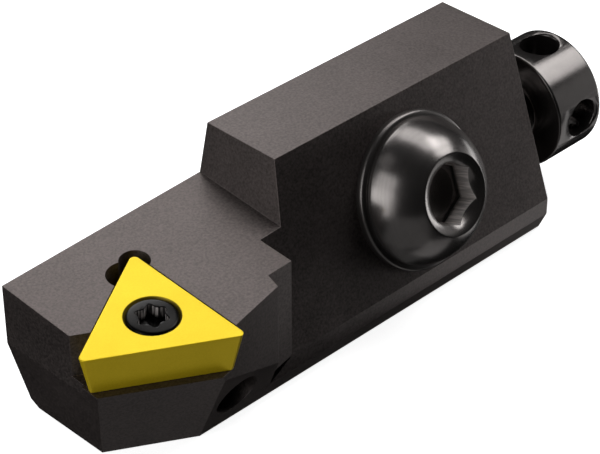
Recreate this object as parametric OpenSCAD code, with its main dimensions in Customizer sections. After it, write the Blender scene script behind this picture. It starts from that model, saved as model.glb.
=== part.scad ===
// Indexable turning cartridge: a screw-clamped triangular insert on a short steel holder that bolts
// into a recess of a boring bar. The length and the radial reach are set with two adjusting screws.
// Origin: rear end face, mounting side face and underside. +X runs to the cutting end, +Y outwards
// to the side with the clamp screw, +Z up.

/* [Block] */
// Height of the rear block
block_h = 15; // [14:0.5:18]
// Width over the outer side, from the mounting face
block_w = 11; // [10.8:0.1:12]
// Width of the rear block's top face
top_w = 6.5; // [6:0.1:8]
// Length of the rear block along its top edge
block_len = 23.6; // [21.5:0.1:24.5]
// Lean of the step between block and head
step_lean = 13; // [5:1:20]
// Height of the outer side's foot, where the leaning face ends
foot_h = 2.8; // [2.4:0.1:3.6]
// Depth of the long relief at the outer bottom edge
bottom_relief = 0.67; // [0.4:0.01:1]
// Angle of that relief from upright
relief_angle = 24.5; // [20:0.5:28]
// Chamfer of the mounting side's bottom edge
back_chamfer = 0.6; // [0.3:0.1:0.9]

/* [Head] */
// Height of the cutting edge over the underside
edge_h = 10; // [9.5:0.1:11]
// From the rear face to the sharp point of the leading corner
reach = 43; // [42:0.1:45]
// From the mounting face to the rounded trailing corner
tip_offset = 14.12; // [13.6:0.02:14.4]
// Turn of the cutting edge about the upright axis
edge_turn = 60; // [58:1:62]
// Fall of the head's top towards the cutting edge
seat_tilt = 4.8; // [3:0.1:6]
// From the rear face to the shoulder where the head widens
shoulder_x = 26.5; // [26:0.1:27.5]
// Length of the flush band between the shoulder and the flank
band_len = 2.1; // [1.6:0.1:2.6]
// How far the flank starts outside the block's width
flank_step = 1.2; // [0.8:0.1:1.6]
// Length over which the flank steps out
flank_run = 0.3; // [0.1:0.1:0.6]
// Turn of the flank away from the long axis
flank_turn = 10.5; // [6:0.5:12]
// How far the upright part of the front stays behind the leading corner's sharp point
front_back = 1.3; // [0.6:0.1:1.6]
// Width of that upright part, from the mounting face
front_w = 7.8; // [7.2:0.1:8.4]
// Height of the line where the front starts to lean back
front_break = 6.1; // [5.5:0.1:6.4]
// Lean of the lower front
front_lean = 15.2; // [10:0.2:18]
// Lean of the face below the cutting edge
under_lean = 22.5; // [15:0.5:25]
// Ledge that the seat keeps behind the cutting edge
seat_setback = 0.12; // [0.08:0.02:0.3]
// How far the wall beside the leading corner stands ahead of the insert's centre
wall_front = 0.65; // [0.3:0.05:1]
// Gap between the insert's flanks and the pocket's walls
pocket_gap = 0.05; // [0.03:0.01:0.1]

/* [Relief holes] */
// Radius of the hole at the pocket's inner corner
corner_hole_r = 1.06; // [0.9:0.02:1.2]
// Its place along the insert's axis of symmetry, from the corner inwards
corner_hole_in = 0.8; // [0.5:0.05:0.9]
// Radius of the hole beside it
side_hole_r = 1.28; // [1.1:0.02:1.4]
// Place of the hole beside it along the pocket's wall, from the corner
side_hole_along = 2.17; // [1.9:0.01:2.4]
// Depth of its centre inside the wall's line
side_hole_in = 0.25; // [0.2:0.01:0.4]
// How far both holes go below the seat
relief_depth = 0.5; // [0.3:0.1:0.8]

/* [Insert] */
// Diameter of the circle inscribed in the insert
insert_ic = 6.35; // [6.2:0.05:6.5]
// Thickness of the insert
insert_t = 3.18; // [3:0.02:3.4]
// Corner radius at the top face
nose_r = 0.2; // [0.15:0.05:0.4]
// Corner radius at the bottom face
nose_foot_r = 0.04; // [0.02:0.02:0.1]
// Clearance angle of its flanks
clearance_angle = 7; // [5:1:7]
// Radius of the mouth of its screw hole
mouth_r = 1.9; // [1.8:0.02:2]
// Radius of its screw hole
hole_r = 1.4; // [1.36:0.02:1.5]
// Half angle of the mouth's cone
cone_half = 30; // [25:1:35]

/* [Insert screw] */
// Thread radius of the insert's screw
insert_screw_r = 1.25; // [1.2:0.01:1.3]
// Length of that screw under its head
insert_screw_len = 5.2; // [4.8:0.1:5.4]
// Radius of its head
rim_r = 1.74; // [1.7:0.01:1.78]
// How far the head's rim lies below the insert's top
rim_depth = 0.04; // [0.02:0.01:0.1]
// Gap between the head's cone and the insert
cone_gap = 0.02; // [0.01:0.01:0.05]
// Rise of the head's crown over its rim
crown_h = 0.12; // [0.08:0.01:0.2]
// Radius across the points of its six-lobed socket
lobe_r = 1.13; // [1:0.01:1.2]
// Depth of that socket
lobe_depth = 1; // [0.7:0.05:1.2]

/* [Clamp screw] */
// From the rear face to the clamp screw
clamp_x = 12.3; // [12.2:0.1:13]
// Place of the clamp screw down the leaning side face
clamp_down = 7.05; // [6.8:0.05:7.2]
// Thread radius
clamp_r = 3; // [2.8:0.05:3.1]
// Length under the head
clamp_len = 16; // [15:0.5:20]
// Radius of the reduced shank above the thread
waist_r = 2.65; // [2.4:0.05:2.75]
// Length of the thread at its end, with the point's bevel
thread_len = 4.5; // [4:0.1:4.6]
// Bevel of its point
clamp_bevel = 0.5; // [0.3:0.1:0.8]
// Radius of its domed head
head_r = 5.25; // [5:0.05:5.4]
// Height of the head
head_h = 3.3; // [3:0.05:3.6]
// Height of the upright rim below the dome
head_rim = 0.35; // [0.2:0.05:0.5]
// Radius of the flat ring on the dome
ring_r = 2.92; // [2.7:0.02:3.1]
// Width across flats of the hexagon socket
hex_af = 4; // [3.8:0.1:4.1]
// Depth of the hexagon socket
hex_depth = 2; // [1.6:0.1:2.2]
// Radius of the countersink at the socket's mouth
hex_mouth_r = 2.38; // [2.36:0.01:2.5]
// Outer radius of the washer
washer_r = 5.69; // [5.6:0.01:5.8]
// Thickness of the washer
washer_t = 0.62; // [0.5:0.02:0.8]
// Play of the washer round the shank
washer_play = 0.2; // [0.1:0.05:0.3]
// Play of the shank across its slot
slot_play = 0.25; // [0.15:0.05:0.35]
// How far the slot lets the cartridge be moved each way
slot_travel = 0.8; // [0.5:0.1:1]

/* [Axial adjusting screw] */
// Height of its axis over the underside
axial_z = 6.87; // [6.4:0.01:7.2]
// Place of its axis from the mounting face
axial_y = 5.15; // [4.9:0.05:5.3]
// Thread radius
axial_r = 2.5; // [2.3:0.05:2.6]
// Radius of the round head
axial_head_r = 4.6; // [4.2:0.05:4.8]
// Length of the head
axial_head_len = 4.7; // [4.4:0.05:5]
// Gap between the head and the rear face
axial_gap = 2.5; // [2.2:0.05:3]
// Depth of the thread in the block
axial_depth = 7.2; // [6.4:0.1:7.2]
// Length of thread that is screwed in
axial_in = 5.5; // [4.5:0.1:6]
// Radius of the four cross holes
bar_hole_r = 1.48; // [1.3:0.02:1.6]
// From the head's front rim to the cross holes
bar_hole_back = 2.7; // [2.3:0.05:2.8]
// Bevel of the head's rims
axial_bevel = 0.2; // [0.1:0.01:0.3]

/* [Radial adjusting screw] */
// From the rear face to its axis
radial_x = 32.24; // [31.8:0.05:32.6]
// Height of its axis over the underside
radial_z = 3.04; // [2.8:0.05:3.3]
// Radius of the tapped hole
radial_hole_r = 1.7; // [1.6:0.05:1.8]
// Length of the set screw
radial_len = 9; // [8:0.5:9.5]
// How far its point lies inside the mounting face
radial_inset = 0.3; // [0.1:0.1:0.8]
// Bevel round its point
point_bevel = 0.5; // [0.3:0.1:0.7]
// Width across flats of its hexagon socket
radial_af = 2; // [1.8:0.1:2.1]
// Depth of that socket
radial_hex_depth = 1.6; // [1.2:0.1:2]

/* [Fits] */
// Radial play between a screw and its tapped hole
thread_play = 0.05; // [0.03:0.01:0.08]

/* [Hidden] */
$fn = 96;
// larger than the part, for cutting slabs
far = 80;
// overlap of a cut past the face that it opens
over = 0.5;
// half the inscribed circle: from the insert's centre to each edge
in_r = insert_ic / 2;
half_edge = in_r * sqrt(3);
// the seat's frame: its first axis falls from the insert's centre to the cutting edge
fall_x = in_r * cos(seat_tilt) * cos(edge_turn) + half_edge * sin(edge_turn);
trail_y = in_r * cos(seat_tilt) * sin(edge_turn) + half_edge * cos(edge_turn);
// the corner's rounding draws the trailing corner back from its sharp point
nose_back = nose_r * (trail_y / in_r - 1);
seat_x = reach - fall_x;
front_x = reach - front_back;
seat_y = tip_offset - trail_y + nose_back;
seat_z = edge_h + in_r * sin(seat_tilt);
// distances from the origin, square to the cutting edge: the insert's centre, the edge, the seat's rim
centre_out = seat_x * cos(edge_turn) + seat_y * sin(edge_turn);
edge_out = centre_out + in_r * cos(seat_tilt);
rim_out = edge_out - seat_setback;
rim_z = edge_h + seat_setback * tan(seat_tilt) - insert_t / cos(seat_tilt);
// the wall beside the leading corner
wall_out = centre_out + wall_front;
// lean of the outer side face, which is square to the clamp screw
side_angle = atan((block_w - top_w) / (block_h - foot_h));
relief_top = bottom_relief / tan(relief_angle);
flank_x = shoulder_x + band_len;
flank_y = block_w + flank_step;
// from the insert's centre to the centre of each corner's rounding, and how fast the radius shrinks
corner_out = 2 * (in_r - nose_r);
corner_taper = (nose_r - nose_foot_r) / insert_t;
// the insert screw's head: an upright rim over a cone that sits in the insert's mouth
cone_top = (mouth_r - cone_gap - rim_r) / tan(cone_half);
cone_h = (rim_r - insert_screw_r) / tan(cone_half);
mouth_depth = (mouth_r - hole_r) / tan(cone_half);
crown_r = (pow(rim_r, 2) + pow(crown_h, 2)) / (2 * crown_h);
lobe_tip_r = 0.24 * lobe_r;
insert_point = cone_top + cone_h + insert_screw_len;
insert_tap = insert_point + 0.4;
// the dome is part of a ball whose centre lies on the screw's axis
dome_c = (pow(ring_r, 2) - pow(head_r, 2) + pow(head_h, 2) - pow(head_rim, 2)) / (2 * (head_h - head_rim));
dome_r = sqrt(pow(ring_r, 2) + pow(head_h - dome_c, 2));
hex_r = hex_af / sqrt(3);
// the countersink runs a little past the flats, inside the socket
hex_mouth_foot = 0.45 * hex_af;
hex_mouth_h = hex_mouth_r - hex_mouth_foot;
slot_r = clamp_r + slot_play;
// the set screw between the mounting face and the relief below the flank
radial_r = radial_hole_r - thread_play;
radial_top = radial_inset + radial_len;

// Slab in front of a plane that is turned about the upright axis and leans back over its foot
module ahead(turn, distance, height, lean) {
    rotate([0, 0, turn])
        translate([distance, 0, height])
            rotate([0, lean, 0])
                translate([0, -far, -far])
                    cube([far, 2 * far, 2 * far]);
}

// Everything over the given height of the seat's frame
module over_seat(height) {
    on_seat()
        translate([-far, -far, height])
            cube([2 * far, 2 * far, far]);
}

// Places its children on the insert's top face, centred on the insert
module on_seat() {
    translate([seat_x, seat_y, seat_z])
        rotate([0, seat_tilt, edge_turn])
            children();
}

// Places its children on the leaning side face, with +Z pointing out along the clamp screw
module on_side() {
    translate([clamp_x, top_w, block_h])
        rotate([-90 + side_angle, 0, 0])
            translate([0, clamp_down, 0])
                children();
}

// Places its children on the axial screw's axis at the rear face, with +Z pointing backwards
module on_rear() {
    translate([0, axial_y, axial_z])
        rotate([0, -90, 0])
            children();
}

// Places its children on the set screw's axis at the mounting face, with +Z pointing outwards
module on_radial() {
    translate([radial_x, 0, radial_z])
        rotate([-90, 0, 0])
            children();
}

// Cross section of the rear block, seen along the block
module block_section() {
    polygon([[back_chamfer, 0], [block_w - bottom_relief, 0], [block_w, relief_top], [block_w, foot_h],
             [top_w, block_h], [0, block_h], [0, back_chamfer]]);
}

// Cross section of the head: the outer relief runs on at the same angle past the block's width
module head_section() {
    wide = 2 * block_w;
    polygon([[back_chamfer, 0], [block_w - bottom_relief, 0],
             [wide, (wide - block_w + bottom_relief) / tan(relief_angle)],
             [wide, 2 * block_h], [0, 2 * block_h], [0, back_chamfer]]);
}

// Outline of the head from above
module head_plan() {
    run = far - flank_x;
    polygon([[shoulder_x, 0], [shoulder_x, block_w], [flank_x, block_w], [flank_x + flank_run, flank_y],
             [flank_x + flank_run + run, flank_y + run * tan(flank_turn)], [far + run, 0]]);
}

// A section drawn in Y and Z and carried along X
module along_block(length) {
    rotate([90, 0, 90])
        linear_extrude(length)
            children();
}

// Solid block and head before the pocket and the holes
module blank() {
    difference() {
        union() {
            along_block(far)
                block_section();
            intersection() {
                along_block(far)
                    head_section();
                linear_extrude(block_h)
                    head_plan();
            }
        }
        // the step down to the head
        intersection() {
            ahead(0, block_len, block_h, -step_lean);
            over_seat(0);
        }
        // the leaning faces at the front and below the cutting edge
        ahead(0, front_x, front_break, front_lean);
        ahead(edge_turn, rim_out, rim_z, under_lean);
        // the upright front beside the pocket
        translate([front_x, -far, front_break])
            cube([far, far + front_w, far]);
    }
}

// Space of the insert with room at its flanks, open upwards and towards the cutting edge
module pocket() {
    difference() {
        over_seat(-insert_t);
        on_seat()
            for (turn = [-120, 120])
                ahead(turn, in_r + pocket_gap, 0, clearance_angle);
    }
    // the seat's floor runs on in front of the wall beside the leading corner
    intersection() {
        on_seat()
            translate([-far, -2 * far, -insert_t])
                cube([2 * far, 2 * far, far]);
        ahead(edge_turn, wall_out, 0, 0);
    }
}

// Holes that free the insert's inner corner and the wall beside it
module relief_holes() {
    depth = insert_t + relief_depth;
    on_seat() {
        translate([corner_hole_in - 2 * in_r, 0, -depth])
            cylinder(h = depth + 2, r = corner_hole_r);
        translate([-2 * in_r, 0, -depth])
            rotate([0, 0, -30])
                translate([side_hole_along, side_hole_in, 0])
                    cylinder(h = depth + 2, r = side_hole_r);
    }
}

// Slot that lets the cartridge be moved under its clamp screw
module clamp_slot() {
    on_side()
        translate([0, 0, -far / 2]) {
            for (end = [-1, 1])
                translate([end * slot_travel, 0, 0])
                    cylinder(h = far, r = slot_r);
            translate([-slot_travel, -slot_r, 0])
                cube([2 * slot_travel, 2 * slot_r, far]);
        }
}

module cartridge_body() {
    color([0.16, 0.155, 0.15])
        difference() {
            blank();
            pocket();
            relief_holes();
            clamp_slot();
            on_seat()
                translate([0, 0, -insert_tap])
                    cylinder(h = insert_tap, r = insert_screw_r + thread_play);
            on_rear()
                translate([0, 0, -axial_depth])
                    cylinder(h = axial_depth + over, r = axial_r + thread_play);
            on_radial()
                translate([0, 0, -over])
                    cylinder(h = far, r = radial_hole_r);
        }
}

module cutting_insert() {
    color([0.93, 0.72, 0.06])
        on_seat()
            difference() {
                translate([-2 * insert_ic, -2 * insert_ic, -insert_t])
                    cube([4 * insert_ic, 4 * insert_ic, insert_t]);
                for (turn = [0, 120, 240])
                    ahead(turn, in_r, 0, clearance_angle);
                // each corner is rounded with narrow flats, and gets sharper towards the bottom
                for (corner = [60, 180, 300])
                    for (step = [-45:15:45])
                        ahead(corner + step, corner_out * cos(step) + nose_r, 0,
                              atan(2 * (tan(clearance_angle) - corner_taper) * cos(step) + corner_taper));
                translate([0, 0, -insert_t - over])
                    cylinder(h = insert_t + 2 * over, r = hole_r);
                translate([0, 0, -mouth_depth])
                    cylinder(h = mouth_depth, r1 = hole_r, r2 = mouth_r);
            }
}

module insert_screw() {
    color([0.2, 0.19, 0.18])
        on_seat()
            difference() {
                union() {
                    // crown of the head, part of a ball
                    intersection() {
                        translate([0, 0, -cone_top])
                            cylinder(h = cone_top + crown_h, r = rim_r);
                        translate([0, 0, crown_h - rim_depth - crown_r])
                            sphere(r = crown_r);
                    }
                    translate([0, 0, -cone_top - cone_h])
                        cylinder(h = cone_h, r1 = insert_screw_r, r2 = rim_r);
                    translate([0, 0, -insert_point])
                        cylinder(h = insert_screw_len, r = insert_screw_r);
                }
                // six-lobed socket
                translate([0, 0, -rim_depth - lobe_depth + crown_h]) {
                    cylinder(h = lobe_depth + over, r = 0.74 * lobe_r);
                    for (turn = [0:60:300])
                        rotate([0, 0, turn])
                            translate([lobe_r - lobe_tip_r, 0, 0])
                                cylinder(h = lobe_depth + over, r = lobe_tip_r);
                }
            }
}

module clamp_washer() {
    color([0.2, 0.195, 0.19])
        on_side()
            difference() {
                cylinder(h = washer_t, r = washer_r);
                translate([0, 0, -over])
                    cylinder(h = washer_t + 2 * over, r = clamp_r + washer_play);
            }
}

module clamp_screw() {
    color([0.12, 0.12, 0.12])
        on_side()
            translate([0, 0, washer_t])
                difference() {
                    union() {
                        intersection() {
                            cylinder(h = head_h, r = head_r);
                            translate([0, 0, dome_c])
                                sphere(r = dome_r);
                        }
                        translate([0, 0, -clamp_len + over])
                            cylinder(h = clamp_len, r = waist_r);
                        translate([0, 0, clamp_bevel - clamp_len])
                            cylinder(h = thread_len - clamp_bevel, r = clamp_r);
                        translate([0, 0, -clamp_len])
                            cylinder(h = clamp_bevel, r1 = clamp_r - clamp_bevel, r2 = clamp_r);
                    }
                    // hexagon socket with a corner up the slope
                    translate([0, 0, head_h - hex_depth])
                        rotate([0, 0, 30])
                            cylinder(h = hex_depth + over, r = hex_r, $fn = 6);
                    translate([0, 0, head_h - hex_mouth_h])
                        cylinder(h = hex_mouth_h + over, r1 = hex_mouth_foot, r2 = hex_mouth_foot + hex_mouth_h + over);
                }
}

module axial_adjusting_screw() {
    rear = axial_gap + axial_head_len;
    color([0.12, 0.12, 0.12])
        on_rear()
            difference() {
                union() {
                    translate([0, 0, -axial_in + point_bevel])
                        cylinder(h = axial_in + axial_gap + over - point_bevel, r = axial_r);
                    translate([0, 0, -axial_in])
                        cylinder(h = point_bevel, r1 = axial_r - point_bevel, r2 = axial_r);
                    translate([0, 0, axial_gap + axial_bevel])
                        cylinder(h = axial_head_len - 2 * axial_bevel, r = axial_head_r);
                    translate([0, 0, axial_gap])
                        cylinder(h = axial_bevel, r1 = axial_head_r - axial_bevel, r2 = axial_head_r);
                    translate([0, 0, rear - axial_bevel])
                        cylinder(h = axial_bevel, r1 = axial_head_r, r2 = axial_head_r - axial_bevel);
                }
                // cross holes for a tommy bar
                translate([0, 0, axial_gap + bar_hole_back])
                    for (tilt = [[90, 0, 0], [0, 90, 0]])
                        rotate(tilt)
                            translate([0, 0, -2 * axial_head_r])
                                cylinder(h = 4 * axial_head_r, r = bar_hole_r);
            }
}

module radial_adjusting_screw() {
    color([0.12, 0.12, 0.12])
        on_radial()
            difference() {
                union() {
                    translate([0, 0, radial_inset + point_bevel])
                        cylinder(h = radial_len - point_bevel, r = radial_r);
                    translate([0, 0, radial_inset])
                        cylinder(h = point_bevel, r1 = radial_r - point_bevel, r2 = radial_r);
                }
                translate([0, 0, radial_top - radial_hex_depth])
                    cylinder(h = radial_hex_depth + over, r = radial_af / sqrt(3), $fn = 6);
            }
}

cartridge_body();
cutting_insert();
insert_screw();
clamp_washer();
clamp_screw();
axial_adjusting_screw();
radial_adjusting_screw();
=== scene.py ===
# %% [markdown]
# This lesson dresses a small turning tool: a blackened steel cartridge that carries a yellow coated
# insert, and the four screws and the washer that hold and set it. The sizes come from the packed CAD
# model. What is added is what CAD leaves plain: threads, broken edges, sockets with their lead-ins,
# the rounding of the insert's corners, and the finish of each surface.

# %% Load the packed part
import math

import bmesh
import bpy
import numpy as np
from mathutils import Matrix, Vector


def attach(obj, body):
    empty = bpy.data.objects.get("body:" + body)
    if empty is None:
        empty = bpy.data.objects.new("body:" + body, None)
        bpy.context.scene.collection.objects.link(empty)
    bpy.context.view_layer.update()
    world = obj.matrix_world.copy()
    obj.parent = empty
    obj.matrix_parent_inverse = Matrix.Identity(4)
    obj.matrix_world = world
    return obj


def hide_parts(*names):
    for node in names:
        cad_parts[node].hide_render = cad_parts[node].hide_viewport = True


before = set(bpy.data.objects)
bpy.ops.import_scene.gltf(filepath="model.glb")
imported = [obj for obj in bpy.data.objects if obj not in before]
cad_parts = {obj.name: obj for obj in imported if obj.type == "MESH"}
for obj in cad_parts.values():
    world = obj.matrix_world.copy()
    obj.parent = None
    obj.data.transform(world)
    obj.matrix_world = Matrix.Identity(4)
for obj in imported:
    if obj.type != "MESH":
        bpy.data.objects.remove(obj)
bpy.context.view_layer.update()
print("solids:", ", ".join(sorted(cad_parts)))

# %% [markdown]
# The camera comes first, because every choice of light and finish is judged through it. It is a long
# lens that looks at the part from outside and above. The three directions of the picture are given
# as unit vectors: right, up and the way the camera looks. A camera object looks along its own -Z, so
# its matrix has those vectors as columns, with the last one turned round. The lens is shifted by
# half a pixel, the step from a pixel's corner to its middle.

# %% Set the camera
MM = 0.001
HALF_PIXEL = 0.5 / 600
eye = Vector((111.22646, 97.40528, 96.80508)) * MM
right = Vector((-0.70918383, 0.70501797, -0.00282031))
up = Vector((-0.40253243, -0.40162027, 0.82259881))
ahead = Vector((-0.57881425, -0.58450904, -0.5686152))
lens = bpy.data.cameras.new("studio_lens")
lens.lens = 137.03
lens.sensor_width = 36.0
lens.shift_x = -HALF_PIXEL
lens.shift_y = HALF_PIXEL
lens.clip_start = 0.001
lens.clip_end = 50.0
camera = bpy.data.objects.new("camera", lens)
camera.matrix_world = Matrix.Translation(eye) @ Matrix((right, up, -ahead)).transposed().to_4x4()
bpy.context.scene.collection.objects.link(camera)
bpy.context.scene.camera = camera
print("camera", [round(value, 4) for value in eye], "lens", lens.lens)

# %% [markdown]
# Each screw and the insert has its own axis, and its shape is simplest when that axis is Z. A
# placing function therefore takes points drawn round Z in millimetres, turns them first about X,
# then Y, then Z, moves them to the part, and gives metres. The four places are those of the CAD
# model: the tilted seat of the insert, the leaning side face, the rear face and the mounting face.
# Each is kept as an origin and three turns, because the finishes need the same places later.

# %% Places on the part
def turn(axis, degrees):
    """Matrix of a turn about one axis (0 = X, 1 = Y, 2 = Z) by the right-hand rule."""
    a, b = (axis + 1) % 3, (axis + 2) % 3
    cosine, sine = math.cos(math.radians(degrees)), math.sin(math.radians(degrees))
    matrix = np.eye(3)
    matrix[a, a] = matrix[b, b] = cosine
    matrix[b, a], matrix[a, b] = sine, -sine
    return matrix


def placing(origin, turns):
    """Function that carries points from a piece's own frame in mm to the part's frame in metres."""
    matrix = turn(2, turns[2]) @ turn(1, turns[1]) @ turn(0, turns[0])
    return lambda points: (points @ matrix.T + np.asarray(origin)) * MM


REACH, EDGE_H, TIP_OFFSET, SEAT_TILT, EDGE_TURN = 43, 10, 14.12, 4.8, 60
IN_R, NOSE_R = 6.35 / 2, 0.2
BLOCK_H, BLOCK_W, TOP_W, FOOT_H = 15, 11, 6.5, 2.8
CLAMP_X, CLAMP_DOWN = 12.3, 7.05
AXIAL_Y, AXIAL_Z = 5.15, 6.87
RADIAL_X, RADIAL_Z = 32.24, 3.04

# from the foremost corner of the cutting edge back to the middle of the insert's top
tilt, edge_turn = math.radians(SEAT_TILT), math.radians(EDGE_TURN)
edge_cos, edge_sin = math.cos(edge_turn), math.sin(edge_turn)
fall = IN_R * math.cos(tilt)
half_edge = IN_R * math.sqrt(3)
seat_x = REACH - fall * edge_cos - half_edge * edge_sin
trail_y = fall * edge_sin + half_edge * edge_cos
seat_y = TIP_OFFSET - trail_y + NOSE_R * (trail_y / IN_R - 1)
seat_z = EDGE_H + IN_R * math.sin(tilt)

side_angle = math.degrees(math.atan2(BLOCK_W - TOP_W, BLOCK_H - FOOT_H))
side_origin = np.array((CLAMP_X, TOP_W, BLOCK_H)) + turn(0, side_angle - 90) @ np.array((0, CLAMP_DOWN, 0))

SEAT = (seat_x, seat_y, seat_z), (0, SEAT_TILT, EDGE_TURN)
SIDE = side_origin, (side_angle - 90, 0, 0)
REAR = (0, AXIAL_Y, AXIAL_Z), (0, -90, 0)
MOUNT = (RADIAL_X, 0, RADIAL_Z), (-90, 0, 0)
on_seat, on_side, on_rear, on_mount = (placing(*place) for place in (SEAT, SIDE, REAR, MOUNT))
print("seat", [round(value, 3) for value in SEAT[0]], "side leans", round(side_angle, 2))

# %% [markdown]
# Nearly everything on this tool was turned on a lathe, so its surface is a section carried round an
# axis. One sheet is a grid: its rows are the points of the section, and its columns are the angles
# round the axis. Spin modifiers could do this too, but a grid worked out as one array lets the
# radius change with the angle, which a hexagon socket or a thread needs.

# %% Sections and sheets
TURN = 2 * np.pi


def rounded(corners, steps=5):
    """Section in (r, z) whose corners are eased.

    Each corner is (r, z, ease). It is cut back by its ease along both neighbours to points A and B,
    and the parabola (1-s)^2 A + 2 s (1-s) P + s^2 B through the corner P bridges the gap.
    """
    points = np.array([corner[:2] for corner in corners], float)
    ease = np.array([corner[2] if len(corner) > 2 else 0 for corner in corners], float)
    before, after = np.roll(points, 1, 0) - points, np.roll(points, -1, 0) - points
    before[0], after[-1] = 0, 0
    unit = lambda way: way / np.maximum(np.linalg.norm(way, axis=1, keepdims=True), 1e-9)
    s = np.linspace(0, 1, steps)[None, :, None]
    start = (points + unit(before) * ease[:, None])[:, None]
    end = (points + unit(after) * ease[:, None])[:, None]
    eased = (1 - s) ** 2 * start + 2 * s * (1 - s) * points[:, None] + s ** 2 * end
    return eased.reshape(-1, 2)


def turned(section, columns=96):
    """Sheet of a turned surface: point (r cos t, r sin t, z) for each section point and angle t."""
    t = np.arange(columns) / columns * TURN
    r, z = section[:, :1], section[:, 1:]
    return np.stack([r * np.cos(t), r * np.sin(t), np.broadcast_to(z, (len(section), columns))], -1)


def shaped(radius, height):
    """Sheet from arrays of radius and height over (row, angle), for sections that change round the axis."""
    t = np.arange(radius.shape[1]) / radius.shape[1] * TURN
    return np.stack([radius * np.cos(t), radius * np.sin(t), height], -1)


print("a corner eased by 1 mm:", rounded([(0, 0), (3, 0, 1), (3, 3)], 3).round(2).tolist())

# %% [markdown]
# A thread is a sheet too. Its rows follow the helix, so each row climbs by one pitch on its way
# round, and the last column meets the first one a whole pitch further on. That offset, counted in
# rows, is called the slip here. Drawing a thread as rings would be simpler, but it would show at once:
# rings have no run-out, and a real thread fades at both ends where the die left it.

# %% A thread
THREAD_DEPTH = 0.613


def thread(crest, pitch, low, high, columns=96):
    """Sheet of a screw thread between two heights, and its slip.

    The height rises by one pitch for each turn, so the rows follow the helix. Across a pitch, here
    in sixteenths, the radius goes from the root to the crest and back: a triangle whose crest is cut
    flat for an eighth of the pitch and whose root is cut flat for a quarter. It is as deep as the
    rounded root of a standard thread, so its straight flanks stand a little steeper than 60 degrees.
    Towards both ends the radius is held under a line that rises from the root at 45 degrees.
    """
    phase = np.array([0, 2, 4.5, 7, 8, 9, 11.5, 14]) / 16
    depth = THREAD_DEPTH * pitch
    rise = np.clip(1 - (np.abs(phase - 0.5) - 1 / 16) / (5 / 16), 0, 1)
    turns = int(math.ceil((high - low) / pitch)) + 2
    rows = turns * len(phase)
    along = (np.arange(turns)[:, None] + phase).reshape(-1, 1)
    t = np.arange(columns) / columns
    height = low + pitch * (along + t - 1)
    radius = np.broadcast_to(crest - depth + depth * np.tile(rise, turns)[:, None], (rows, columns))
    height = np.clip(height, low, high)
    limit = crest - depth + np.minimum(height - low, high - height)
    return shaped(np.minimum(radius, limit), height), len(phase)


print("thread of pitch 1 mm:", thread(3, 1, 0, 4)[0].shape[:2], "rows and columns for 4 mm")

# %% [markdown]
# A skin joins sheets into one closed mesh. Sheets that meet share a row of points, and those doubles
# are merged. The faces are then turned outwards, edges that bend by more than an angle are marked
# sharp, and a modifier weights the normals by area, so that a narrow easing doesn't pull the shading
# of the wide face beside it.

# %% Skins
JOIN = 2e-7


def skin(name, place, *sheets, sharp=32):
    """One mesh object from sheets, each a grid of points or a (grid, slip) pair.

    Four neighbours in a grid make a face, and the last column closes on the first. Points that fall
    together, at poles and where sheets meet, are merged, and the faces are turned outwards.
    """
    points, faces, count = [], [], 0
    for sheet in sheets:
        grid, slip = sheet if isinstance(sheet, tuple) else (sheet, 0)
        rows, columns = grid.shape[:2]
        number = np.arange(rows * columns).reshape(rows, columns) + count
        closing = number[np.minimum(np.arange(rows) + slip, rows - 1), 0]
        beside = np.column_stack([number[:, 1:], closing])
        faces.append(np.stack([number[:-1], beside[:-1], beside[1:], number[1:]], -1).reshape(-1, 4))
        points.append(grid.reshape(-1, 3))
        count += rows * columns
    mesh = bpy.data.meshes.new(name)
    mesh.from_pydata(place(np.concatenate(points)).tolist(), [], np.concatenate(faces).tolist())
    shell = bmesh.new()
    shell.from_mesh(mesh)
    bmesh.ops.remove_doubles(shell, verts=shell.verts, dist=JOIN)
    bmesh.ops.dissolve_degenerate(shell, edges=shell.edges, dist=JOIN / 2)
    bmesh.ops.recalc_face_normals(shell, faces=shell.faces)
    open_edges = sum(not edge.is_manifold for edge in shell.edges)
    shell.to_mesh(mesh)
    shell.free()
    mesh.shade_smooth()
    mesh.set_sharp_from_angle(angle=math.radians(sharp))
    piece = bpy.data.objects.new(name, mesh)
    bpy.context.scene.collection.objects.link(piece)
    even = piece.modifiers.new("even_normals", "WEIGHTED_NORMAL")
    even.keep_sharp = True
    print(f"{name}: {len(mesh.polygons)} faces, {open_edges} open edges")
    return piece


# %% [markdown]
# The finishes are node materials. Written out node by node, shader maths is hard to read, so a small
# class wraps a socket and gives it Python's operators: adding two wrapped sockets adds a Math node.

# %% Shader expressions
class Link:
    """A node's output that can be used in a sum: each operator adds a Math node and returns its output."""

    def __init__(self, finish, socket):
        self.finish, self.socket = finish, socket

    def math(self, operation, first, second):
        return self.finish.node("ShaderNodeMath", {"operation": operation}, {0: first, 1: second})

    def __add__(self, other):
        return self.math("ADD", self, other)

    def __pow__(self, other):
        return self.math("POWER", self, other)

    def __sub__(self, other):
        return self.math("SUBTRACT", self, other)

    def __rsub__(self, other):
        return self.math("SUBTRACT", other, self)

    def __mul__(self, other):
        return self.math("MULTIPLY", self, other)

    __radd__, __rmul__ = __add__, __mul__


print("a link has:", ", ".join(name.strip("_") for name, value in vars(Link).items() if callable(value)))

# %% [markdown]
# A second class is one finish: it owns a material and has a single method that makes any node. The
# other methods are short names for the nodes that come again and again: noise of a given size in
# millimetres, a blend of two colours, a bump of a given height, and a value moved to 0 and 1.

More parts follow.
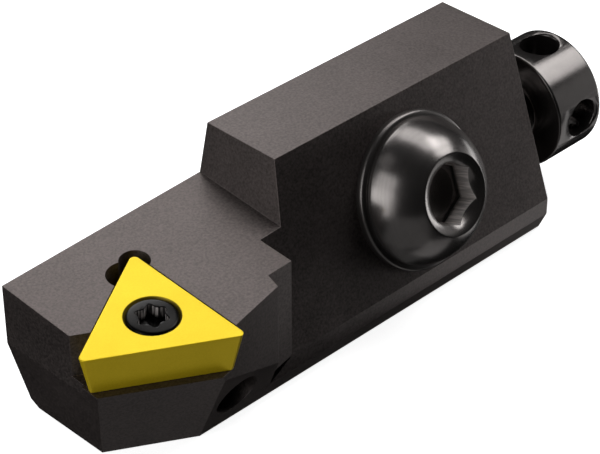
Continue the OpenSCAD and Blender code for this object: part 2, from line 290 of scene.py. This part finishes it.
# %% A finish
class Finish:
    """A material with one Principled shader, whose constants are set on its own sockets."""

    def __init__(self, name, **constants):
        self.material = bpy.data.materials.new(name)
        self.material.use_nodes = True
        self.tree = self.material.node_tree
        self.shader = self.tree.nodes["Principled BSDF"]
        for socket, value in constants.items():
            self.shader.inputs[socket.replace("_", " ")].default_value = value
        self.where = self.node("ShaderNodeTexCoord", {}, {}, output="Object")

    def node(self, kind, settings, inputs, output=0):
        """Adds a node: its settings first, then a value or a link on each named socket."""
        node = self.tree.nodes.new(kind)
        for setting, value in settings.items():
            setattr(node, setting, value)
        for socket, value in inputs.items():
            if isinstance(value, Link):
                self.tree.links.new(value.socket, node.inputs[socket])
            else:
                node.inputs[socket].default_value = value
        return Link(self, node.outputs[output])

    def feed(self, **links):
        """Links what varies over the surface to the shader's sockets."""
        for socket, link in links.items():
            self.tree.links.new(link.socket, self.shader.inputs[socket.replace("_", " ")])

    def noise(self, size, detail=2.0):
        """Noise between 0 and 1 whose features are about size mm across."""
        return self.node("ShaderNodeTexNoise", {}, {"Vector": self.where, "Scale": 1 / (size * MM),
                                                    "Detail": detail, "Roughness": 0.55})

    def blend(self, factor, dark, light):
        """Colour that goes from dark to light as the factor goes from 0 to 1."""
        return self.mix(factor, (*dark, 1), (*light, 1))

    def mix(self, factor, first, second):
        """Colour between two colours or two links to colours."""
        return self.node("ShaderNodeMix", {"data_type": "RGBA"}, {0: factor, 6: first, 7: second}, output=2)

    def bump(self, height, depth, strength=1.0):
        """Normal of a relief that is depth mm high where the height is 1."""
        return self.node("ShaderNodeBump", {},
                         {"Height": height, "Distance": depth * MM, "Strength": strength}, output="Normal")

    def clamp(self, value, low, high):
        """Value moved from the range low to high to the range 0 to 1, and held inside it."""
        return self.node("ShaderNodeMapRange", {}, {"Value": value, "From Min": low, "From Max": high})

    def report(self):
        """Prints how many nodes the finish has and which of the shader's sockets vary."""
        varied = [socket.name for socket in self.shader.inputs if socket.is_linked]
        print(f"{self.material.name}: {len(self.tree.nodes)} nodes feed {', '.join(varied)}")


print("a finish has:", ", ".join(name for name in vars(Finish) if not name.startswith("_")))

# %% [markdown]
# Blackened steel is bare steel with a thin, dark oxide. It keeps the grain that the grinding wheel
# left, so it is far from black where light rakes over it. Two scales of noise make it: a grain about
# as fine as the eye can see, and soft clouds a few millimetres wide where the oxide is thicker. The
# edges are a little lighter, partly as oxide thinned by handling and partly as a painted highlight
# along each edge. They are found with a Bevel node: it gives the normal that a rounded edge would
# have, and where it leaves the true normal, there is an edge.

# %% Blackened steel of the body
OXIDE_DARK, OXIDE_LIGHT = (0.058, 0.0490, 0.0469), (0.150, 0.1267, 0.1213)
EDGE_WEAR_AND_HIGHLIGHT = 0.12
black_steel = Finish("blackened_steel", Metallic=0.85, IOR=1.5)
grain = black_steel.clamp(black_steel.noise(0.17, 2.0), 0.28, 0.72)
clouds = black_steel.clamp(black_steel.noise(3.5, 2.0), 0.25, 0.75)
soft = black_steel.node("ShaderNodeBevel", {"samples": 6}, {"Radius": EDGE_WEAR_AND_HIGHLIGHT * MM}, output="Normal")
true = black_steel.node("ShaderNodeNewGeometry", {}, {}, output="Normal")
agree = black_steel.node("ShaderNodeVectorMath", {"operation": "DOT_PRODUCT"}, {0: soft, 1: true},
                         output="Value")
# lighter edges: edge wear and a painted highlight along every edge
edge_wear_and_highlight = black_steel.clamp(1 - agree, 0.04, 0.25) * black_steel.clamp(black_steel.noise(0.8), 0.35, 0.7)
tone = black_steel.clamp(grain * 0.7 + clouds * 0.2 + edge_wear_and_highlight * 0.4, 0.0, 1.0)
black_steel.feed(
    Base_Color=black_steel.blend(tone, OXIDE_DARK, OXIDE_LIGHT),
    Roughness=0.40 + grain * 0.10 + clouds * 0.04,
    Normal=black_steel.bump(grain, 0.0035, 0.7),
)
black_steel.report()

# %% [markdown]
# The screws are blackened too, but they were forged and tumbled, so they are smoother and glossier
# than the ground body. Lathe rings run round each screw's own axis, which the finish finds by undoing
# the screw's place: a Mapping node set to Texture turns the part's coordinates back into the
# screw's. Where a key works, the steel is lighter and less glossy: partly wear from the key, partly
# painted light that stands for the light falling on the socket's walls.

# %% Black screw steel
STEEL_TINT = (1.0, 0.93, 0.90)
RING_PITCH = 0.11


def own_frame(finish, place):
    """The piece's own coordinates in mm, its height z among them, and the distance from its axis."""
    origin, turns = place
    own = finish.node("ShaderNodeMapping", {"vector_type": "TEXTURE"},
                      {"Vector": finish.where, "Location": [value * MM for value in origin],
                       "Rotation": [math.radians(value) for value in turns], "Scale": (MM, MM, MM)})
    parts = finish.node("ShaderNodeSeparateXYZ", {}, {0: own})
    x, y, z = (Link(finish, parts.socket.node.outputs[axis]) for axis in "XYZ")
    return own, z, (x * x + y * y) ** 0.5


def screw_finish(name, place, shade, gloss, socket=None, wear_and_light_shades=None):
    """Glossy black steel with lathe rings round a screw's own axis.

    A sine of the distance from the axis plus the distance along it gives rings on flat and on
    upright surfaces. A socket is given by the radius of its rim, the height of its floor, and its
    lead-in, where the height is the slope times the radius plus the level. Inside the rim, over the
    floor and under the lead-in, the steel has the broach's marks, which are noise drawn out along
    the axis, and goes between two lighter shades: wear from the key, and painted light for the light
    that falls on the socket's walls.
    """
    finish = Finish(name, Metallic=0.9, IOR=1.5)
    own, z, out = own_frame(finish, place)
    fine, soft_clouds = finish.noise(0.09, 2.0), finish.noise(1.4, 3.0)
    path = (out + z) * (TURN / RING_PITCH) + soft_clouds * 3.0
    rings = path.math("SINE", path, 0.0) * 0.5 + 0.5
    tone = finish.clamp(soft_clouds * 0.5 + fine * 0.4 + rings * 0.1, 0.3, 0.7)
    colour = finish.blend(tone, *([shade * tint * share for tint in STEEL_TINT] for share in (0.88, 1.12)))
    rough, relief = gloss + soft_clouds * 0.03 + fine * 0.03, fine * 0.6 + rings * 0.15
    if socket:
        drawn = finish.node("ShaderNodeVectorMath", {"operation": "MULTIPLY"}, {0: own, 1: (9, 9, 0.5)})
        marks = finish.node("ShaderNodeTexNoise", {}, {"Vector": drawn, "Scale": 1.0, "Detail": 2.0})
        inside = finish.clamp(out, socket["rim"] + 0.02, socket["rim"])
        above = finish.clamp(z, socket["floor"], socket["floor"] + 0.3)
        below = finish.clamp(z - out * socket["slope"], socket["level"], socket["level"] - 0.04)
        # lighter socket walls: key wear, and painted light for the light that falls into the socket
        key_wear_and_light_mask = inside * above * below
        wear_and_light_colour = finish.blend(finish.clamp(marks, 0.42, 0.64),
                              *([bright * tint for tint in STEEL_TINT] for bright in wear_and_light_shades))
        colour = finish.mix(key_wear_and_light_mask, colour, wear_and_light_colour)
        rough, relief = rough + key_wear_and_light_mask * 0.14, relief + key_wear_and_light_mask * marks
        finish.feed(Metallic=0.9 - key_wear_and_light_mask * 0.5)
    finish.feed(Base_Color=colour, Roughness=rough, Normal=finish.bump(relief, 0.0012, 0.5))
    finish.report()
    return finish


# each socket's last pair is its lighter wall shades: key wear and painted light together
clamp_black = screw_finish("clamp_screw_steel", SIDE, 0.17, 0.21,
                           dict(rim=2.33, floor=2.0, slope=1, level=1.36), (0.50, 0.85))
washer_black = screw_finish("washer_steel", SIDE, 0.13, 0.28)
axial_black = screw_finish("axial_screw_steel", REAR, 0.13, 0.19)
radial_black = screw_finish("radial_screw_steel", MOUNT, 0.12, 0.26,
                            dict(rim=1.165, floor=7.8, slope=1, level=8.09), (0.17, 0.30))
small_screw = screw_finish("insert_screw_steel", SEAT, 0.006, 0.22,
                           dict(rim=1.15, floor=-0.9, slope=0, level=0.0), (0.02, 0.7))

# %% [markdown]
# The insert is cemented carbide under a coating a few thousandths of a millimetre thick. The coating
# is yellow and slightly metallic, with a satin gloss. It follows the pressed and ground carbide
# below, so it has a very fine grain, and its colour drifts a little over the faces. Inside the hole
# the colour is a painted shade, much darker, for the shadowed gap round the screw's head.

# %% Yellow coating of the insert
# The third colour is a painted shade, used inside the hole round the screw's head.
COAT_DARK, COAT_LIGHT, COAT_PAINTED_HOLE_SHADE = (0.73, 0.53, 0.012), (0.83, 0.615, 0.022), (0.15, 0.105, 0.008, 1)
coating = Finish("coated_carbide", Metallic=0.5, IOR=1.45, Specular_IOR_Level=0.25)
speck, drift = coating.clamp(coating.noise(0.12, 3.0), 0.3, 0.7), coating.noise(2.5, 2.0)
_, _, from_axis = own_frame(coating, SEAT)
yellow = coating.blend(coating.clamp(speck * 0.35 + drift * 0.65, 0.2, 0.8), COAT_DARK, COAT_LIGHT)
# painted shade: the coating is darkened inside the hole's mouth, for the shadowed gap round the screw's head
hole_shade_mask = coating.clamp(from_axis, 1.93, 1.86)
coating.feed(
    Base_Color=coating.mix(hole_shade_mask, yellow, COAT_PAINTED_HOLE_SHADE),
    Roughness=0.36 + speck * 0.10,
    Normal=coating.bump(speck, 0.0012, 0.5),
)
coating.report()

# %% [markdown]
# Every piece gets its finish through one helper. A new piece also rides on a body, so that it moves
# with the joints, and the CAD node that it stands for is hidden. A CAD node that stays rides on its
# body already.

# %% Put a finish on a piece
def dress(piece, finish, body, replaces=None):
    """Gives a piece its finish and, if it replaces a CAD node, the body it moves with; that node is hidden.
    """
    piece.data.materials.clear()
    piece.data.materials.append(finish.material)
    if replaces:
        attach(piece, body)
        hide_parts(replaces)
    print(piece.name, "wears", finish.material.name)


# %% [markdown]
# The body is the CAD solid itself, because its planes and bores are already exact. Its edges are
# mathematically sharp, which no ground part is. Three modifiers break them without touching the
# mesh: Weld joins its loose triangles, Decimate dissolves the lines inside flat faces, and Bevel
# then turns each edge that bends by more than 20 degrees into a tiny rounding.

# %% The body
BROKEN_EDGE = 0.05
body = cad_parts["cartridge_body"]
weld = body.modifiers.new("join_triangles", "WELD")
weld.merge_threshold = 2e-6
flat = body.modifiers.new("clear_flats", "DECIMATE")
flat.decimate_type = "DISSOLVE"
flat.angle_limit = math.radians(0.5)
broken = body.modifiers.new("broken_edges", "BEVEL")
broken.width = BROKEN_EDGE * MM
broken.segments = 2
broken.limit_method = "ANGLE"
broken.angle_limit = math.radians(20)
broken.miter_outer = "MITER_ARC"
dress(body, black_steel, "cartridge")

# %% [markdown]
# The insert is a triangle with rounded corners, wide at the top and narrower below, with a hole whose
# mouth is a countersink. One loop goes round the material: over the bottom, up the flank, over the
# honed cutting edge, across the top and down the hole. The rows of the grid are stations on that
# loop. Outside rows are rounded triangles and inside rows are circles with as many points.

# %% Rows of the insert
def triangle(inside, corner, columns_arc=17, columns_side=15):
    """Outline of a triangle with the given inscribed radius and corner radius, as points (x, y).

    Each corner's arc has its centre at twice (inside - corner) from the middle, in the direction of
    the corner, and turns 60 degrees to each side of it. Straight sides join the arcs.
    """
    aim = np.radians([60, 180, 300])[:, None]
    bend = np.radians(np.linspace(-60, 60, columns_arc))
    middle = 2 * (inside - corner)
    arc = np.stack([middle * np.cos(aim) + corner * np.cos(aim + bend),
                    middle * np.sin(aim) + corner * np.sin(aim + bend)], -1)
    share = np.linspace(0, 1, columns_side + 2)[1:-1, None]
    side = arc[:, -1:] * (1 - share) + np.roll(arc[:, :1], -1, 0) * share
    return np.concatenate([arc, side], 1).reshape(-1, 2)


def at_height(points, height):
    """Row of points (x, y) lifted to one height."""
    return np.column_stack([points, np.full(len(points), height)])


def outline_rows(stations):
    """Rows of the outer stations (inscribed radius, corner radius, height)."""
    return [at_height(triangle(inside, corner), height) for inside, corner, height in stations]


def circle_rows(section, outline):
    """Rows of the hole: circles whose points stand at the same angles as the outline's."""
    t = np.arctan2(outline[:, 1], outline[:, 0])
    return [at_height(np.column_stack([r * np.cos(t), r * np.sin(t)]), z) for r, z in section]


print("points in a row:", len(triangle(IN_R, NOSE_R)))

# %% [markdown]
# The flank leans in by the clearance angle, so that only the edge touches the work. The hone is a
# quarter ellipse between flank and top. Its rows go from the flank, at an angle of 0, to the top.

# %% The cutting insert
INSERT_T, CLEARANCE, HONE, CORNER_R, FOOT_R, FOOT_EASE = 3.18, 7, 0.055, 0.35, 0.22, 0.1
CONE_R, HOLE_R, CONE_DEPTH = 1.90, 1.4, 0.866
lean = math.tan(math.radians(CLEARANCE))
foot_in = IN_R - INSERT_T * lean
flank = [(foot_in - FOOT_EASE, FOOT_R - 0.06, -INSERT_T),
         (foot_in - FOOT_EASE * 0.3, FOOT_R - 0.02, -INSERT_T + FOOT_EASE * 0.3),
         (foot_in, FOOT_R, -INSERT_T + FOOT_EASE),
         (IN_R - 0.15 * lean, CORNER_R, -0.15)]
honed = [(IN_R - HONE * (1 - math.cos(a) + lean * (1 - math.sin(a))), CORNER_R, -HONE * (1 - math.sin(a)))
         for a in np.radians(np.linspace(0, 90, 5))]
land = [(IN_R - 0.12, CORNER_R - 0.04, 0)]
hole = rounded([(2.1, 0), (1.95, 0), (CONE_R, 0, 0.03), (HOLE_R, -CONE_DEPTH, 0.15),
                (HOLE_R, -INSERT_T, 0.05), (1.5, -INSERT_T)], 4)
outer, inner = outline_rows(flank + honed + land), circle_rows(hole, triangle(IN_R, CORNER_R))
insert = skin("insert", on_seat, np.array(outer + inner + outer[:1]), sharp=25)
dress(insert, coating, "cartridge", "cutting_insert")

# %% [markdown]
# A screw is built of sheets on the same angles: its socket, its head and shank, the thread, and the
# collar and the cone that close the thread. For the small screw the socket is a six-lobed star. Its
# wall's radius is a mean radius plus a cosine of six times the angle, with a second, smaller cosine
# that makes the lobes rounder. The head is crowned: from its middle it falls by the square of the
# radius over twice the crown's own radius, and the star's rim follows it.

# %% The insert's screw
COLUMNS = 144
SCREW_R, SCREW_PITCH, SCREW_TIP, NECK = 1.25, 0.45, -6.14, (1.16, -1.2)
HEAD_RIM_R, CROWN_H, CROWN_R = 1.74, 0.08, 12.675
angle = np.arange(COLUMNS) / COLUMNS * TURN


def threaded(crest, pitch, low, high, core_from, columns=COLUMNS):
    """Thread sheet and the two closing sheets: a collar up to the shank and the cone of the point."""
    core, bevel = crest - THREAD_DEPTH * pitch, 0.12 * crest
    collar = turned(np.array([(core, high), core_from]), columns)
    point = turned(rounded([(core, low), (core - bevel, low - bevel, 0.03), (0, low - bevel)], 3), columns)
    return thread(crest, pitch, low, high, columns), collar, point


lobe = 0.975 + 0.135 * np.cos(6 * angle) + 0.012 * np.cos(12 * angle)
crown = lambda r: CROWN_H - r ** 2 / (2 * CROWN_R)
every = np.ones(COLUMNS)
star = [(0 * every, -1.15 * every), (0.7 * lobe, -0.95 * every), (lobe, -0.92 * every),
        (lobe, crown(lobe) - 0.06)]
lip = [(lobe + 0.02, crown(lobe) - 0.02), (lobe + 0.06, crown(lobe + 0.06))]
top = [(lobe + (1.45 - lobe) * share, crown(lobe + (1.45 - lobe) * share)) for share in (0.4, 0.7, 1)]
wall_r, wall_z = (np.array(rows) for rows in zip(*(star + lip + top)))
head_out = rounded([(1.45, crown(1.45)), (HEAD_RIM_R, crown(HEAD_RIM_R), 0.22), (HEAD_RIM_R, -0.2425, 0.03),
                    (SCREW_R, -1.091, 0.1), NECK], 7)
insert_screw = skin("insert_screw_turned", on_seat, shaped(wall_r, wall_z), turned(head_out, COLUMNS),
                    *threaded(SCREW_R, SCREW_PITCH, SCREW_TIP, -1.35, NECK), sharp=28)
dress(insert_screw, small_screw, "insert_fixing", "insert_screw")

# %% [markdown]
# The clamp screw and the radial screw are driven by hexagon keys. The hexagon's radius at an angle is
# half the width across flats over the cosine of the angle from the nearest flat. A lead-in cone at 45
# degrees round its mouth cuts the corners less deep than the flats.

# %% A hexagon socket
def hexagon(across):
    """Radius of a hexagon at each column's angle, with a flat facing the angle 0."""
    off = (angle + TURN / 12) % (TURN / 6) - TURN / 12
    return across / 2 / np.cos(off)


def hex_socket(across, top, depth, mouth, drill):
    """Rows (radius, height) from the drill's tip up the hexagon's walls and the lead-in to the mouth."""
    wall = hexagon(across)
    floor, lead = (top - depth) * every, top - (mouth - wall)
    flats = across / 2 * every
    radius = [0 * every, 0.86 * flats, 0.9 * flats, wall, wall, wall + 0.02, mouth * every]
    height = [floor - drill, floor - 0.02, floor, floor, lead - 0.02, lead + 0.01, top * every]
    return shaped(np.array(radius), np.array(height))


print("4 mm hexagon, to its flats and corners:", hexagon(4).min().round(3), hexagon(4).max().round(3))

# %% [markdown]
# The clamp screw is a button head screw. From the socket outwards its head is a hexagon, a lead-in
# cone, a narrow ring that is dished a little, and a dome that is part of a ball. The ball's centre
# lies on the axis where its distances to the ring's edge and to the rim's edge are equal.

# %% The clamp screw
WASHER_T, HEAD_R, HEAD_H, RIM, RING_R = 0.62, 5.25, 3.3, 0.35, 2.92
MOUTH_R, DISH = 2.36, 0.19
CLAMP_R, CLAMP_PITCH, CLAMP_TIP, WAIST_R, WAIST_END = 3.0, 1.0, -15.64, 2.65, -11.4
ball_z = (RING_R ** 2 - HEAD_R ** 2 + HEAD_H ** 2 - RIM ** 2) / (2 * (HEAD_H - RIM))
ball_r = math.hypot(RING_R, HEAD_H - ball_z)
sweep = np.linspace(math.acos((HEAD_H - ball_z) / ball_r), math.acos((RIM - ball_z) / ball_r), 28)
dome = np.column_stack([ball_r * np.sin(sweep), ball_z + ball_r * np.cos(sweep)])[1:-1]
ring = rounded([(MOUTH_R, HEAD_H - DISH), (RING_R, HEAD_H, 0.03), tuple(dome[0])], 4)
core_from = CLAMP_R - THREAD_DEPTH * CLAMP_PITCH, WAIST_END
shank = rounded([tuple(dome[-1]), (HEAD_R, RIM, 0.05), (HEAD_R, 0, 0.08), (2.9, 0.0), (WAIST_R, -0.25, 0.2),
                 (WAIST_R, WAIST_END + 0.3, 0.05), core_from])
lift = lambda sheet: sheet + np.array((0, 0, WASHER_T))
clamp_thread, clamp_collar, clamp_point = threaded(CLAMP_R, CLAMP_PITCH, CLAMP_TIP, WAIST_END - 0.05,
                                                   core_from)
clamp_screw = skin("clamp_screw_forged", on_side, lift(hex_socket(4, HEAD_H - DISH, 2 - DISH, MOUTH_R, 0.7)),
                   *(lift(turned(section, COLUMNS)) for section in (ring, dome, shank)),
                   (lift(clamp_thread[0]), clamp_thread[1]), lift(clamp_collar), lift(clamp_point))
dress(clamp_screw, clamp_black, "clamp", "clamp_screw")

# %% [markdown]
# A stamped washer is round at the edge where the punch drew it in, and sharper below. Its section is
# a closed loop, so the first row comes again at the end.

# %% The washer
WASHER_R, WASHER_HOLE_R = 5.69, 3.2
loop = rounded([(4.5, 0), (WASHER_R, 0, 0.04), (WASHER_R, WASHER_T, 0.34), (WASHER_HOLE_R, WASHER_T, 0.1),
                (WASHER_HOLE_R, 0, 0.05), (4.5, 0)])
washer = skin("washer_stamped", on_side, turned(loop, COLUMNS))
dress(washer, washer_black, "cartridge", "clamp_washer")

# %% [markdown]
# The axial screw has a thick round head with two cross holes for a pin. Holes across a cylinder meet
# it in curves that no simple grid follows, so here the head is a turned skin and the holes are cut
# with a Boolean modifier, whose result is kept as the mesh. The cutters flare at both ends, which
# leaves a small countersink round each hole, as the burr is taken off a real one.

# %% The axial screw
GAP, HEAD_LEN, AXIAL_HEAD_R, NECK_R = 2.5, 4.7, 4.6, 2.2
AXIAL_R, AXIAL_PITCH, AXIAL_TIP = 2.5, 0.8, -5.2
BAR_R, BAR_BACK, FLARE_R = 1.48, 2.7, 1.95
back = GAP + HEAD_LEN
head = rounded([(0, back), (3.9, back), (AXIAL_HEAD_R, back, 0.22), (AXIAL_HEAD_R, GAP, 0.2),
                (NECK_R + 0.15, GAP, 0.12), (NECK_R, GAP - 0.1), (NECK_R, GAP - 0.6, 0.1),
                (2.0, GAP - 0.8)], 6)
axial = skin("axial_screw_turned", on_rear, turned(head, COLUMNS),
             *threaded(AXIAL_R, AXIAL_PITCH, AXIAL_TIP, GAP - 0.85, (2.0, GAP - 0.8)))
flare = rounded([(0, -6), (FLARE_R, -6), (FLARE_R, -4.75), (BAR_R, -4.42, 0.12), (BAR_R, 4.42, 0.12),
                 (FLARE_R, 4.75), (FLARE_R, 6), (0, 6)], 5)
bar = turned(flare, 72)
cutters = []
for label, sideways in (("across", turn(0, 90)), ("upright", turn(1, 90))):
    cutters.append(skin("pin_hole_" + label, on_rear, bar @ sideways.T + np.array((0, 0, GAP + BAR_BACK))))
    cut = axial.modifiers.new(label, "BOOLEAN")
    cut.operation, cut.solver, cut.object = "DIFFERENCE", "EXACT", cutters[-1]
bpy.context.view_layer.update()
drilled = bpy.data.meshes.new_from_object(axial.evaluated_get(bpy.context.evaluated_depsgraph_get()))
axial.modifiers.clear()
axial.data = drilled
drilled.set_sharp_from_angle(angle=math.radians(32))
for cutter in cutters:
    bpy.data.objects.remove(cutter)
print("axial screw drilled:", len(drilled.polygons), "faces")
dress(axial, axial_black, "axial_adjuster", "axial_adjusting_screw")

# %% [markdown]
# The radial screw is a headless set screw: thread from end to end, a bevelled flat point that rests
# on the bar, and a small hexagon socket in the other end, deep inside its hole.

# %% The radial screw
RADIAL_R, RADIAL_PITCH, RADIAL_TOP, RADIAL_LOW = 1.65, 0.6, 9.3, 0.3
root = RADIAL_R - THREAD_DEPTH * RADIAL_PITCH
end = rounded([(1.2, RADIAL_TOP), (root, RADIAL_TOP, 0.02), (root, RADIAL_TOP - 0.06)], 3)
tip = rounded([(root, RADIAL_LOW + 0.35), (1.05, RADIAL_LOW, 0.04), (0, RADIAL_LOW)], 4)
helix = thread(RADIAL_R, RADIAL_PITCH, RADIAL_LOW + 0.35, RADIAL_TOP - 0.06, COLUMNS)
radial = skin("radial_screw_threaded", on_mount, hex_socket(2, RADIAL_TOP, 1.6, 1.2, 0.4),
              turned(end, COLUMNS), helix, turned(tip, COLUMNS))
dress(radial, radial_black, "radial_adjuster", "radial_adjusting_screw")

# %% [markdown]
# A dark, glossy thing shows its lights more than its own colour, so each light is placed by what a
# face or a highlight of the photograph reflects. Two large ones behind and above make the dome's
# broad highlight, and a tall one in front makes the soft strip at its left. Low ones at the rear
# catch the rims and the dished ring, those at the left light the tops, and weak ones from below
# stand for the light that a pale table sends back. Four small ones hang close to single faces,
# because a near light falls off across a face, as it does in the photograph. An area light's
# brightness is its power over pi times its area, so each is given by the brightness that it shows
# in a reflection.

# %% Light the scene
def softbox(name, azimuth, elevation, width, height, brightness, distance=0.3, aim=(0.02, 0.005, 0.008)):
    """Area light that looks at a point from a direction in degrees, as bright as the given radiance."""
    a, e = math.radians(azimuth), math.radians(elevation)
    way = Vector((math.cos(e) * math.cos(a), math.cos(e) * math.sin(a), math.sin(e)))
    lamp = bpy.data.lights.new(name, "AREA")
    lamp.shape, lamp.size, lamp.size_y = "RECTANGLE", width, height
    lamp.energy = math.pi * width * height * brightness
    box = bpy.data.objects.new(name, lamp)
    box.location = Vector(aim) + way * distance
    box.rotation_euler = way.to_track_quat("Z", "Y").to_euler()
    box.visible_camera = False
    bpy.context.scene.collection.objects.link(box)


LAMPS = [
    ("key", 163, 45, 0.16, 0.14, 4.3), ("key_left", 196, 62, 0.22, 0.14, 2.7),
    ("left_high", 255, 45, 0.14, 0.14, 2.2), ("left_low", 240, 25, 0.14, 0.14, 2.5),
    ("rim", 178, -3, 0.12, 0.06, 2.0), ("rear_low", 165, -12, 0.12, 0.1, 2.8),
    ("tall", 2, 18, 0.18, 0.34, 1.9), ("front_left", -17, 10, 0.1, 0.12, 1.8),
    ("left_front", -50, 20, 0.16, 0.14, 0.9), ("left_top", -30, 60, 0.1, 0.1, 0.4),
    ("bounce_side", 105, -62, 0.15, 0.15, 0.4), ("bounce_front", 45, -35, 0.3, 0.3, 0.19),
    ("bounce_below", 0, -80, 0.2, 0.2, 0.12), ("near_front", 12, 10, 0.05, 0.05, 0.65, 0.08),
    ("near_rear", 150, 5, 0.03, 0.03, 0.42, 0.034, (-0.004, 0.009, 0.009)),
    ("near_low", 142, -35, 0.026, 0.026, 0.72, 0.036, (0.0, 0.009, 0.003)),
    ("near_head", 230, 40, 0.05, 0.05, 0.9, 0.1, (0.038, 0.008, 0.009)),
]
for lamp in LAMPS:
    softbox(*lamp)

world = bpy.data.worlds.new("studio")
world.use_nodes = True
world.node_tree.nodes["Background"].inputs["Color"].default_value = (0.0, 0.0, 0.0, 1)
bpy.context.scene.world = world
bpy.context.scene.view_settings.view_transform = "Standard"
print(len(LAMPS), "soft lights in a dark room")

# %% [markdown]
# The floor is a plain pale sheet, as white as the photograph's ground. It curves up far away from the
# part, so that no horizon shows, and lies a little lower than the underside, so that the two don't
# coincide. It glows nearly white by itself, but it lights nothing, shows in no reflection and casts
# no shadow.

# %% The floor
FLOOR_DROP, FLOOR_FLAT, FLOOR_CURVE = 0.02, 1.2, 0.8
paper = Finish("pale_floor", Roughness=0.9, Emission_Color=(1, 1, 1, 1), Emission_Strength=0.85)
paper.material.cycles.emission_sampling = "NONE"
paper.feed(Base_Color=paper.blend(paper.noise(40, 1.0), (0.66, 0.66, 0.66), (0.68, 0.68, 0.68)))
bend = np.linspace(0, np.pi / 2, 13)[1:]
r = np.concatenate([np.linspace(0, FLOOR_FLAT, 7), FLOOR_FLAT + FLOOR_CURVE * np.sin(bend)])
z = np.concatenate([np.zeros(7), FLOOR_CURVE * (1 - np.cos(bend))])
bowl = turned(np.append(np.column_stack([r, z]), [[2.0, 3.0]], 0) / MM, 64)
floor = skin("floor", lambda points: (points - np.array((0, 0, FLOOR_DROP))) * MM, bowl)
floor.data.flip_normals()
floor.data.materials.append(paper.material)
floor.visible_diffuse = floor.visible_glossy = floor.visible_shadow = False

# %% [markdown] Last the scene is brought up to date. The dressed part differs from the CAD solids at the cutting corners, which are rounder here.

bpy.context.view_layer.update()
